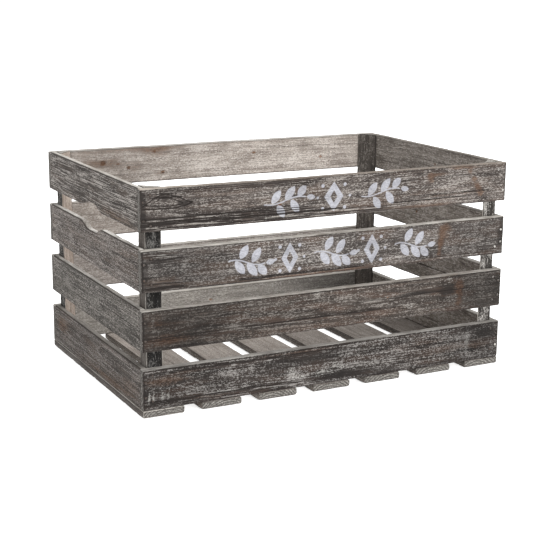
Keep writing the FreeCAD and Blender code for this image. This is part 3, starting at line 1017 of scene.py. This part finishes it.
BOARDS["back_slat_4"] = dict(
    seed=67, pith=(4, -42, 0.02, 4.4), groove=0.24, bow=(0.1, 0.2),
    knots=[(22, 8, 2.4), (-170, -4, 2.2)], cracks=[(60, 250, 4, 0, 1, 0.3)],
    gain_in=0.80, gains_in=[(-230, 0, 90, 90, -0.5), (60, 0, 60, 60, 0.18)],
    tone=dict(in_dark=(146, 141, 135), in_mid=(176, 171, 164), in_fleck=(206, 202, 196)))

# Left end: +188 is at the crate's front.  Each gain_out darkens the outer face, which turns away
# from the key light: painted shade, with some of the board's own tone.
GREY_END = dict(
    dark=(70, 64, 59), mid=(108, 101, 96), warm=(100, 88, 80), line=(46, 41, 37),
    fleck=(172, 165, 160), pit_col=(38, 34, 31), rust=(88, 68, 55), soot=(62, 55, 50),
    in_dark=(132, 124, 117), in_mid=(164, 156, 149), in_fleck=(192, 186, 180),
    pit=0.9, wash=0.88, soft=0.045, late=0.8, patchy=0.03, worm=0.35, thread=0.7,
    strand=0.35, under=0.3,
    fleck_size=(3.0, 1.25), worm_size=(5.0, 2.1), thread_size=(130.0, 1.5))
BOARDS["left_end_slat_1"] = dict(
    seed=71, pith=(12, -30, 0.04, 3.6), groove=0.86, bow=(0.2, 0), notch=1, gain_out=0.80,
    cracks=[(-170, 120, 12, 0, 1, 0.4), (-60, 188, -4, 0.01, 1, 0.45),
            (40, 188, -21, 0, 0.8, 0.5)],
    brown=[(130, -24, 60, 7, 0.5), (60, -22, 60, 8, 0.35), (-20, 2, 60, 6, 0.3)],
    dark=[(150, -24, 50, 6, 0.5), (-60, -14, 60, 7, 0.6), (20, 4, 70, 5, 0.5),
          (-100, 14, 40, 6, 0.5)],
    white=[(60, 8, 110, 4, 0.5), (-120, -12, 60, 4, 0.35), (-178, -12, 10, 14, 0.35)],
    tone=dict(GREY_END, thread=0.95, strand=0.62, wash=1.0, soft=0.03, fleck=(180, 174, 168),
              thread_size=(80.0, 1.3)))
BOARDS["left_end_slat_2"] = dict(
    seed=73, pith=(-6, -36, 0.03, 3.8), groove=0.5, bow=(0.1, 0), notch=-1, gain_out=0.91,
    top_shade=[(-34, 23, 24, 14, 0.62)],
    cracks=[(-188, -90, -8, 0, 0.8, 0.35), (60, 188, 9, 0, 0.9, 0.35)],
    brown=[(-90, 6, 60, 8, 0.3), (140, 12, 40, 8, 0.3)],
    white=[(-170, -6, 18, 3, 0.7), (-20, -10, 80, 3, 0.3), (-150, 4, 8, 4, 0.5)],
    tone=dict(GREY_END, bare=(222, 219, 213), bare_lo=(150, 146, 140)))
BOARDS["left_end_slat_3"] = dict(
    seed=79, pith=(2, -46, 0.02, 3.6), groove=0.42, bow=(-0.1, 0), gain_out=0.85,
    cracks=[(70, 186, 1, -0.01, 0.8, 0.9), (110, 188, 27, 0, 0.5, 0.6)],
    dark=[(96, 20, 3, 8, 0.4), (92, -20, 2, 9, 0.6), (-90, -10, 50, 7, 0.4),
          (120, -14, 50, 8, 0.35)],
    tone=dict(GREY_END, dark=(68, 65, 60), mid=(104, 101, 95), warm=(94, 90, 83),
              bare=(186, 182, 176), bare_lo=(128, 124, 118)))
BOARDS["left_end_slat_4"] = dict(
    seed=83, pith=(8, -34, 0.04, 4), groove=0.55, bow=(0.1, 0), gain_out=0.765,
    cracks=[(-188, -20, 4, 0, 1, 0.4), (20, 188, -17, 0, 0.9, 0.5)],
    brown=[(-150, 6, 34, 16, 0.7), (60, -22, 130, 8, 0.6), (150, -6, 40, 10, 0.5)],
    dark=[(-60, 12, 60, 8, 0.4), (120, 6, 60, 8, 0.45)], white=[(-20, -4, 70, 5, 0.35)],
    tone=dict(GREY_END, bare=(140, 136, 130), bare_lo=(104, 100, 95)))

# Right end: -188 is at the crate's front.
RIGHT_TONE = dict(
    dark=(78, 71, 66), mid=(112, 105, 99), fleck=(166, 161, 156),
    in_dark=(112, 105, 98), in_mid=(152, 145, 138), in_fleck=(186, 180, 174),
    fleck_size=(6.5, 2.0), worm_size=(10.0, 3.4), pit=0.6)
# seed, notch, inner lightness (painted shade on the inner faces, which turn away from the key
# light, with some of each board's own tone), bare colours
RIGHT_SLATS = (
    (89, 1, 0.95, (140, 134, 126), (96, 90, 82)),
    (97, -1, 1.03, (132, 128, 122), (92, 88, 83)),
    (101, 0, 0.90, (172, 168, 162), (130, 126, 120)),
    (103, 0, 0.88, (170, 167, 161), (122, 118, 112)))
for k, (seed, notch, light, bare, bare_low) in enumerate(RIGHT_SLATS, start=1):
    turn = (-1) ** k
    BOARDS["right_end_slat_%d" % k] = dict(
        seed=seed, pith=(9.0 * turn, -36, 0.03, 4.0 + 0.2 * k), notch=notch, gain_in=light,
        knots=[(-70 + 50 * k, 6 - 4 * k, 2.2)],
        cracks=[(-160 + 30 * k, 60 + 10 * k, 12.0 - 6 * k, 0, 1, 0.4),
                (-20, 186, 3.0 * k - 16, 0, 0.8, 0.35)],
        brown=[(60 * turn, -12, 60, 9, 0.4), (-120, 10, 40, 8, 0.3)],
        tone=dict(RIGHT_TONE, bare=bare, bare_lo=bare_low))

# Bottom, which runs front to back: seed, lightness of the edges, lightness inside.  The inner
# lightness, falling toward the crate's right, is painted shade.
BOTTOM_SLATS = ((107, 0.52, 0.80), (109, 1.0, 0.80), (113, 1.0, 0.83), (127, 0.85, 0.78),
                (131, 0.9, 0.61), (137, 0.6, 0.62), (139, 0.6, 0.53))
for k, (seed, side, light) in enumerate(BOTTOM_SLATS, start=1):
    BOARDS["bottom_slat_%d" % k] = dict(
        # light arris wear on all but the first slat leaves a dark line along their arrises: painted
        # shade
        seed=seed, side_gain=side, gain_in=light, wear=(0.8 if k == 1 else 0.18, 0.0),
        pith=(14.0 * math.cos(1.9 * k), -22.0 - 5.0 * (k % 3), 0.02, 3.4 + 0.15 * k),
        knots=[(-60 + 47 * ((k * 3) % 5), 8 - 5 * (k % 4), 2.2)] if k % 2 else [],
        cracks=[(-190, -150, 6 * math.sin(k * 2.2), 0.02, 0.6, 0.7),
                (-120 + 20 * k, 60 + 12 * k, -12 + 4 * k, 0, 1, 0.25)],
        brown=[(40 * (-1) ** k, 8, 80, 12, 0.25)])

# Scattered stains: kind, patches per run, ranges of half length, half width, amount.
SCATTER = (("brown", 1, (6, 10), (16, 28), (0.5, 0.95)), ("brown", 2, (30, 90), (3, 9), (0.3, 0.6)),
           ("dark", 2, (20, 70), (3, 9), (0.4, 0.9)), ("dark", 1, (6, 14), (5, 10), (0.6, 1.1)),
           ("white", 2, (3, 14), (3, 12), (0.5, 0.9)), ("white", 1, (30, 70), (1.5, 4), (0.4, 0.7)))
RUN = 190.0      # mm of board to a run of stains


def weather_outside(spec, first_seed, length, reach):
    """Adds scattered stains, and outer cracks that reach so far from the middle."""
    rng = np.random.default_rng(first_seed + spec["seed"])
    for stain, per_run, *ranges in SCATTER:
        rows = [(rng.uniform(-0.46, 0.46) * length, rng.uniform(-26, 26),
                 *[rng.uniform(low, high) for low, high in ranges])
                for _ in range(per_run * int(length / RUN))]
        spec[stain] = list(spec.get(stain, ())) + rows
    spec["cracks_out"] = [
        (-reach, reach, 25.5, 0, 0.6, 0.5),
        (-reach, -40, -19.0 + spec["seed"] % 9, 0.006, 0.9, 0.7),
        (30, reach, 9.0 - spec["seed"] % 7, -0.01, 1.2, 0.8),
        (-reach, 20, -25.5, 0.003, 0.6, 0.7)]


for node, spec in BOARDS.items():
    if node.startswith("back_"):
        weather_outside(spec, first_seed=500, length=600.0, reach=290)
    elif node.startswith("right_end_"):
        weather_outside(spec, first_seed=600, length=376.0, reach=180)


# ------------------------------------------------------- triangular posts
def post_outline(leg):
    """Counter-clockwise outline from the square corner, with eased corners."""
    # x, y, corner radius
    corners = np.array([(0, 0, 0.7), (leg, 0, 0.35), (leg, 0.9, 0.45),
                        (0.9, leg, 0.45), (0, leg, 0.35)], float)
    out = []
    for i, (*_, radius) in enumerate(corners):
        before, here, after = (corners[(i + k) % len(corners), :2] for k in (-1, 0, 1))
        back, ahead = before - here, after - here
        back_length, ahead_length = np.linalg.norm(back), np.linalg.norm(ahead)
        radius = min(radius, 0.45 * back_length, 0.45 * ahead_length)
        start, end = here + back / back_length * radius, here + ahead / ahead_length * radius
        for t in (0.0, 0.33, 0.67, 1.0):
            out.append((1 - t) ** 2 * start + 2 * t * (1 - t) * here + t * t * end)
        next_radius = min(corners[(i + 1) % len(corners), 2], 0.45 * ahead_length)
        stop = after - ahead / ahead_length * next_radius
        count = max(1, int(np.linalg.norm(stop - end) / OUTLINE_STEP))
        for s in range(1, count):
            out.append(end + (stop - end) * s / count)
    return np.array(out)


def post_mesh(leg, tall):
    """Points and normals as (height, along the x leg, along the y leg), and
    faces: the sides and, at each end, shrinking rings round a hub."""
    loop = post_outline(leg)
    tangent = np.roll(loop, -1, 0) - np.roll(loop, 1, 0)
    normal = np.stack([tangent[:, 1], -tangent[:, 0]], -1)
    normal /= np.linalg.norm(normal, axis=1, keepdims=True)
    heights = stations(tall, POST_STEP)
    rows, count = len(heights), len(loop)
    total = rows * count
    points = [np.column_stack([np.repeat(heights, count), np.tile(loop, (rows, 1))])]
    normals = [np.column_stack([np.zeros(total), np.tile(normal, (rows, 1))])]
    ids = np.arange(total).reshape(rows, count)
    turned = np.roll(ids, -1, 1)
    quads = [np.stack([ids[:-1], turned[:-1], turned[1:], ids[1:]], -1).reshape(-1, 4)]
    triangles = []
    middle = loop.mean(0)
    for row, side in ((0, -1), (-1, 1)):
        ring = ids[row]
        for scale in CAP_RINGS:
            inner = total + np.arange(count)
            total += count
            points.append(np.column_stack([np.full(count, heights[row]),
                                           middle + (loop - middle) * scale]))
            quad = np.stack([ring, np.roll(ring, -1), np.roll(inner, -1), inner], -1)
            quads.append(quad[:, ::side])
            ring = inner
        points.append(np.array([[heights[row], *middle]]))
        triangle = np.stack([ring, np.roll(ring, -1), np.full(count, total)], -1)
        triangles.append(triangle[:, ::side])
        total += 1
        normals.append(np.tile((side, 0.0, 0.0), (len(CAP_RINGS) * count + 1, 1)))
    return np.concatenate(points), np.concatenate(normals), quads + triangles


def build_post(node, x_way, y_way, seed, tone, leg_gains=None, scuffs=()):
    """Triangular corner post: two square faces on the slats, its sawn face
    toward the crate's middle.  x_way and y_way point from the square corner
    along its legs; leg_gains shade the faces along the x and the y leg."""
    low, high = box_mm(node)
    leg, tall = float(high[0] - low[0]), float(high[2] - low[2])
    points, normals, blocks = post_mesh(leg, tall)
    height, leg_x, leg_y = points.T
    on_end = normals[:, 0] != 0.0
    near_end = smooth(2.0, 0.0, tall / 2.0 - np.abs(height))

    fibre = layered(height / 22.0, leg_x / 1.6, leg_y / 1.6 + seed)
    gnarl = layered(height / 8.0, leg_x / 4.0, leg_y / 4.0 + seed)
    relief = 0.32 * fibre + 0.38 * smooth(0.45, 0.8, gnarl)
    # soften the two end rims
    relief = relief + 0.55 * near_end * (~on_end)
    moved = points - normals * relief[:, None] * (0.5, 1.0, 1.0)
    corner_x = low[0] if x_way > 0 else high[0]
    corner_y = low[1] if y_way > 0 else high[1]
    world_points = np.stack([corner_x + x_way * moved[:, 1], corner_y + y_way * moved[:, 2],
                             moved[:, 0] + (low[2] + high[2]) / 2.0], -1)
    if x_way * y_way < 0:
        blocks = [block[:, ::-1] for block in blocks]

    sawn = np.clip((leg_x + leg_y - leg + 1.2) / 1.2, 0, 1)
    inner = np.where(on_end, 0.3, smooth(0.2, 0.9, sawn))
    on_x_leg = smooth(0.9, 0.2, leg_y) * (1 - inner)
    on_y_leg = smooth(0.9, 0.2, leg_x) * (1 - inner)
    gain = 1.0
    if leg_gains:
        # the y leg's face is coloured like the sawn face, but in shade
        gain = inner + (1 - inner) * (leg_gains[0] * (1 - on_y_leg) + leg_gains[1] * on_y_leg)
        inner = np.maximum(inner, on_y_leg)
    corner_gap = np.minimum(np.minimum(np.hypot(leg_x - leg, leg_y), np.hypot(leg_x, leg_y - leg)),
                            np.hypot(leg_x, leg_y))
    wear = 0.75 * np.exp(-(corner_gap / 1.6) ** 1.5) + 0.5 * near_end
    ring, _ = ring_fields(height, leg_x, leg_y, (30.0, 26.0, 0.02, 3.6), (), seed)
    crack, opening = crack_fields(height, leg_x - leg_y, seed,
                                  [(-120, 60, 3.0, 0.01, 1.0, 0.5)])
    add_piece(node + "_wood", node, world_points, blocks,
              fields(gc=(points + SEED_SHIFT * seed).T,
                     wa=(ring, 0.45, 6.0),
                     wb=(patches(height, leg_x, scuffs, seed) * on_x_leg, 0.0, 0.0),
                     wc=(inner, on_end, wear),
                     wd=(crack, opening * (inner > 0.5), 0.0),
                     we=(np.full(len(points), gain), 0.0, 0.0)),
              wood_material(node + "_finish", tone))


POST_TONE = dict(
    dark=(34, 32, 31), mid=(62, 61, 59), warm=(56, 53, 50), fleck=(166, 163, 159),
    pit_col=(24, 22, 21), patchy=0.45, soft=0.04, cut=0.615,
    in_dark=(140, 130, 122), in_mid=(170, 160, 151), in_fleck=(200, 193, 186),
    end_lo=(140, 135, 128), end_hi=(188, 184, 177), end_arc=(110, 103, 96))


# ------------------------------------------------------------------ nails
NAIL_SEGMENTS = 20
HEAD_RADIUS, SHANK_RADIUS = 1.8, 0.90
# Head: share of the head's radius, depth below the outer face in mm.
HEAD_PROFILE = ((0.30, -0.10), (0.62, -0.07), (0.86, 0.0), (0.97, 0.12), (1.0, 0.30),
                (0.99, 0.52), (0.93, 0.66))


def find_nails(kind):
    """The nails of a CAD group: middle of each head's outer face, way in and
    length, in mm, read from the frame's own mesh."""
    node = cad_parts[kind + "_nails"]
    matrix = np.array(node.matrix_world)
    points = np.empty(len(node.data.vertices) * 3, np.float32)
    node.data.vertices.foreach_get("co", points)
    points = points.reshape(-1, 3).astype(float)
    points = (points @ matrix[:3, :3].T + matrix[:3, 3]) * 1000.0
    # nails go straight through the thickness of the boards
    axis = int(np.argmax(np.abs(KINDS[kind]["axes"][2])))
    flat = points[:, [a for a in range(3) if a != axis]]
    left = np.ones(len(points), bool)
    out = []
    while left.any():
        near = left & (np.hypot(*(flat - flat[np.argmax(left)]).T) < 4.2)
        nail = points[near]
        low, high = nail.min(0), nail.max(0)
        middle = (low + high) / 2.0
        # the head is the end with the wide vertices
        aside = np.delete(nail - middle, axis, axis=1)
        wide = np.hypot(*aside.T) > 1.4
        head = nail[wide][:, axis].mean() if wide.any() else low[axis]
        sign = 1.0 if abs(head - low[axis]) < abs(head - high[axis]) else -1.0
        middle[axis] = low[axis] if sign > 0 else high[axis]
        way = np.zeros(3)
        way[axis] = sign
        out.append((middle, way, float(high[axis] - low[axis])))
        left &= ~near
    out.sort(key=lambda row: tuple(np.round(row[0], 2)))
    return out


def nail_points(head, way, length, tilt, head_radius, dents):
    """Rings of points from the domed head to the point, then two hubs."""
    angle = np.arange(NAIL_SEGMENTS) * 2 * math.pi / NAIL_SEGMENTS
    first = np.zeros(3)
    first[(int(np.argmax(np.abs(way))) + 1) % 3] = 1.0
    second = np.cross(way, first)
    knocked = (1.0 + 0.05 * np.sin(angle * 2 + dents[0] * 6)
               + 0.03 * np.sin(angle * 5 + dents[1] * 6))
    lean = tilt[0] * np.cos(angle) + tilt[1] * np.sin(angle)
    # (radius round the ring, depth round the ring)
    rings = [(head_radius * share * knocked, depth + lean * head_radius * share)
             for share, depth in HEAD_PROFILE]
    rings += [(1.15, 0.72), (SHANK_RADIUS, 1.1), (SHANK_RADIUS, 3.0),
              (SHANK_RADIUS, length * 0.5), (SHANK_RADIUS, length - 2.4),
              (0.60, length - 1.4), (0.28, length - 0.5)]
    rows = [head + np.outer(radius * np.cos(angle), first)
            + np.outer(radius * np.sin(angle), second)
            + np.outer(np.ones(NAIL_SEGMENTS) * (depth + 0.10), way)
            for radius, depth in rings]
    return np.concatenate(rows + [[head + way * -0.02], [head + way * (length - 0.02)]])


def build_nails(kind, seed, material):
    """One mesh of driven nails: domed, hammered heads, shanks and points."""
    rng = np.random.default_rng(seed)
    all_points, quads, triangles, places, looks = [], [], [], [], []
    base = 0
    for number, (head, way, length) in enumerate(NAILS[kind]):
        # more wash is left on the heads at the crate's right
        most, least = (0.9, 0.15) if head[0] > 0 else (0.45, 0.0)
        wash = rng.random() * most + least
        tilt = rng.normal(0, 0.02, 2)
        head_radius = HEAD_RADIUS * rng.uniform(0.93, 1.0)
        dents = (rng.random(), rng.random())
        points = nail_points(head, way, length, tilt, head_radius, dents)
        ids = base + np.arange(len(points) - 2).reshape(-1, NAIL_SEGMENTS)
        turned = np.roll(ids, -1, 1)
        base += len(points)
        quads.append(np.stack([turned[:-1], turned[1:], ids[1:], ids[:-1]], -1).reshape(-1, 4))
        for hub, after, before in ((base - 2, turned[0], ids[0]), (base - 1, ids[-1], turned[-1])):
            triangles.append(np.stack([np.full(NAIL_SEGMENTS, hub), after, before], -1))
        is_head = ((points - head) @ way < 0.95).astype(float)
        all_points.append(points)
        places.append(points + number * 17.3)
        looks.append(np.stack(np.broadcast_arrays(is_head, wash, 0.0), -1))
    add_piece(kind + "_nails_steel", kind + "_nails", np.concatenate(all_points),
              [np.concatenate(quads), np.concatenate(triangles)],
              {"gc": np.concatenate(places), "wa": np.concatenate(looks)},
              material)


# -------------------------------------------------------- build the crate
NAILS = {kind: find_nails(kind) for kind in KINDS}

for node in BOARDS:
    build_board(node)

build_post("post_front_left", 1, 1, 151.0, POST_TONE, leg_gains=(0.44, 0.32),
           scuffs=[(76, 9, 6, 9, 0.9), (94, 14, 12, 3, 0.7), (-8, 8, 6, 9, 0.8),
                   (8, 4, 9, 3, 0.7), (-91, 9, 6, 9, 0.9), (-76, 13, 9, 4, 0.7)])
build_post("post_front_right", -1, 1, 157.0,
           dict(POST_TONE, dark=(58, 55, 52), mid=(96, 92, 88), fleck=(206, 202, 196),
                cut=0.605, patchy=0.7))
build_post("post_back_left", 1, -1, 163.0,
           dict(POST_TONE, in_dark=(160, 146, 135), in_mid=(192, 177, 165),
                in_fleck=(214, 205, 196)))
build_post("post_back_right", -1, -1, 167.0,
           dict(POST_TONE, in_dark=(70, 66, 62), in_mid=(106, 100, 94),
                in_fleck=(152, 146, 140)))

steel = steel_material("nail_steel_finish")
for i, kind in enumerate(KINDS):
    build_nails(kind, seed=300 + i, material=steel)


# ------------------------------------------------- floor, light and camera
FLOOR_HALF, FLOOR_Z = 14, -0.0006              # m
WORLD_LIGHT, WORLD_SEEN = 0.92, 1.05           # strength for light, and to the camera
SUN = dict(energy=1.9, angle=math.radians(35.0))
SUN_ROTATION = (0.70, 0.0, 0.42)

CAMERA_MM = (-908.1499971574733, -1761.6520338040377, 606.2944602492641)
CAMERA_TURN = 0.47942390165226545              # from +Y toward +X, radians
CAMERA_DIP, CAMERA_ROLL = 0.23669597042906398, 0.00914655130752856
CAMERA_LENS, CAMERA_SENSOR = 83.36962025, 36   # mm


def add_floor():
    mesh = bpy.data.meshes.new("studio_floor")
    corners = [(x * FLOOR_HALF, y * FLOOR_HALF, FLOOR_Z)
               for x, y in ((-1, -1), (1, -1), (1, 1), (-1, 1))]
    mesh.from_pydata(corners, [], [(0, 1, 2, 3)])
    floor = bpy.data.objects.new("studio_floor", mesh)
    scene.collection.objects.link(floor)
    mesh.materials.append(floor_material("studio_floor_finish"))


def add_world():
    """A white world, a little brighter to the camera."""
    world = bpy.data.worlds.new("studio_world")
    scene.world = world
    world.use_nodes = True
    nodes, links = world.node_tree.nodes, world.node_tree.links
    background = nodes["Background"]
    background.inputs[0].default_value = (1.0, 1.0, 1.0, 1)
    background.inputs[1].default_value = WORLD_LIGHT
    path = nodes.new("ShaderNodeLightPath")
    strength = nodes.new("ShaderNodeMapRange")
    links.new(path.outputs["Is Camera Ray"], strength.inputs[0])
    strength.inputs[3].default_value = WORLD_LIGHT
    strength.inputs[4].default_value = WORLD_SEEN
    links.new(strength.outputs[0], background.inputs[1])


def add_sun():
    light = bpy.data.lights.new("key_light", "SUN")
    light.energy, light.angle = SUN["energy"], SUN["angle"]
    sun = bpy.data.objects.new("key_light", light)
    sun.rotation_euler = SUN_ROTATION
    scene.collection.objects.link(sun)


def add_camera():
    turn, dip = CAMERA_TURN, CAMERA_DIP
    forward = Vector((math.sin(turn) * math.cos(dip), math.cos(turn) * math.cos(dip),
                      -math.sin(dip)))
    level = Vector((math.cos(turn), -math.sin(turn), 0.0))
    upright = level.cross(forward)
    cos, sin = math.cos(CAMERA_ROLL), math.sin(CAMERA_ROLL)
    right = level * cos + upright * sin
    above = -level * sin + upright * cos
    data = bpy.data.cameras.new("camera")
    camera = bpy.data.objects.new("camera", data)
    scene.collection.objects.link(camera)
    rows = [(right[i], above[i], -forward[i], CAMERA_MM[i] / 1000) for i in range(3)]
    camera.matrix_world = Matrix((*rows, (0, 0, 0, 1)))
    data.sensor_width = CAMERA_SENSOR
    data.lens = CAMERA_LENS
    data.clip_start, data.clip_end = 0.05, 50
    scene.camera = camera


scene = bpy.context.scene
add_floor()
add_world()
add_sun()
scene.view_settings.view_transform = "Standard"
scene.view_settings.look = "None"
add_camera()

bpy.context.view_layer.update()
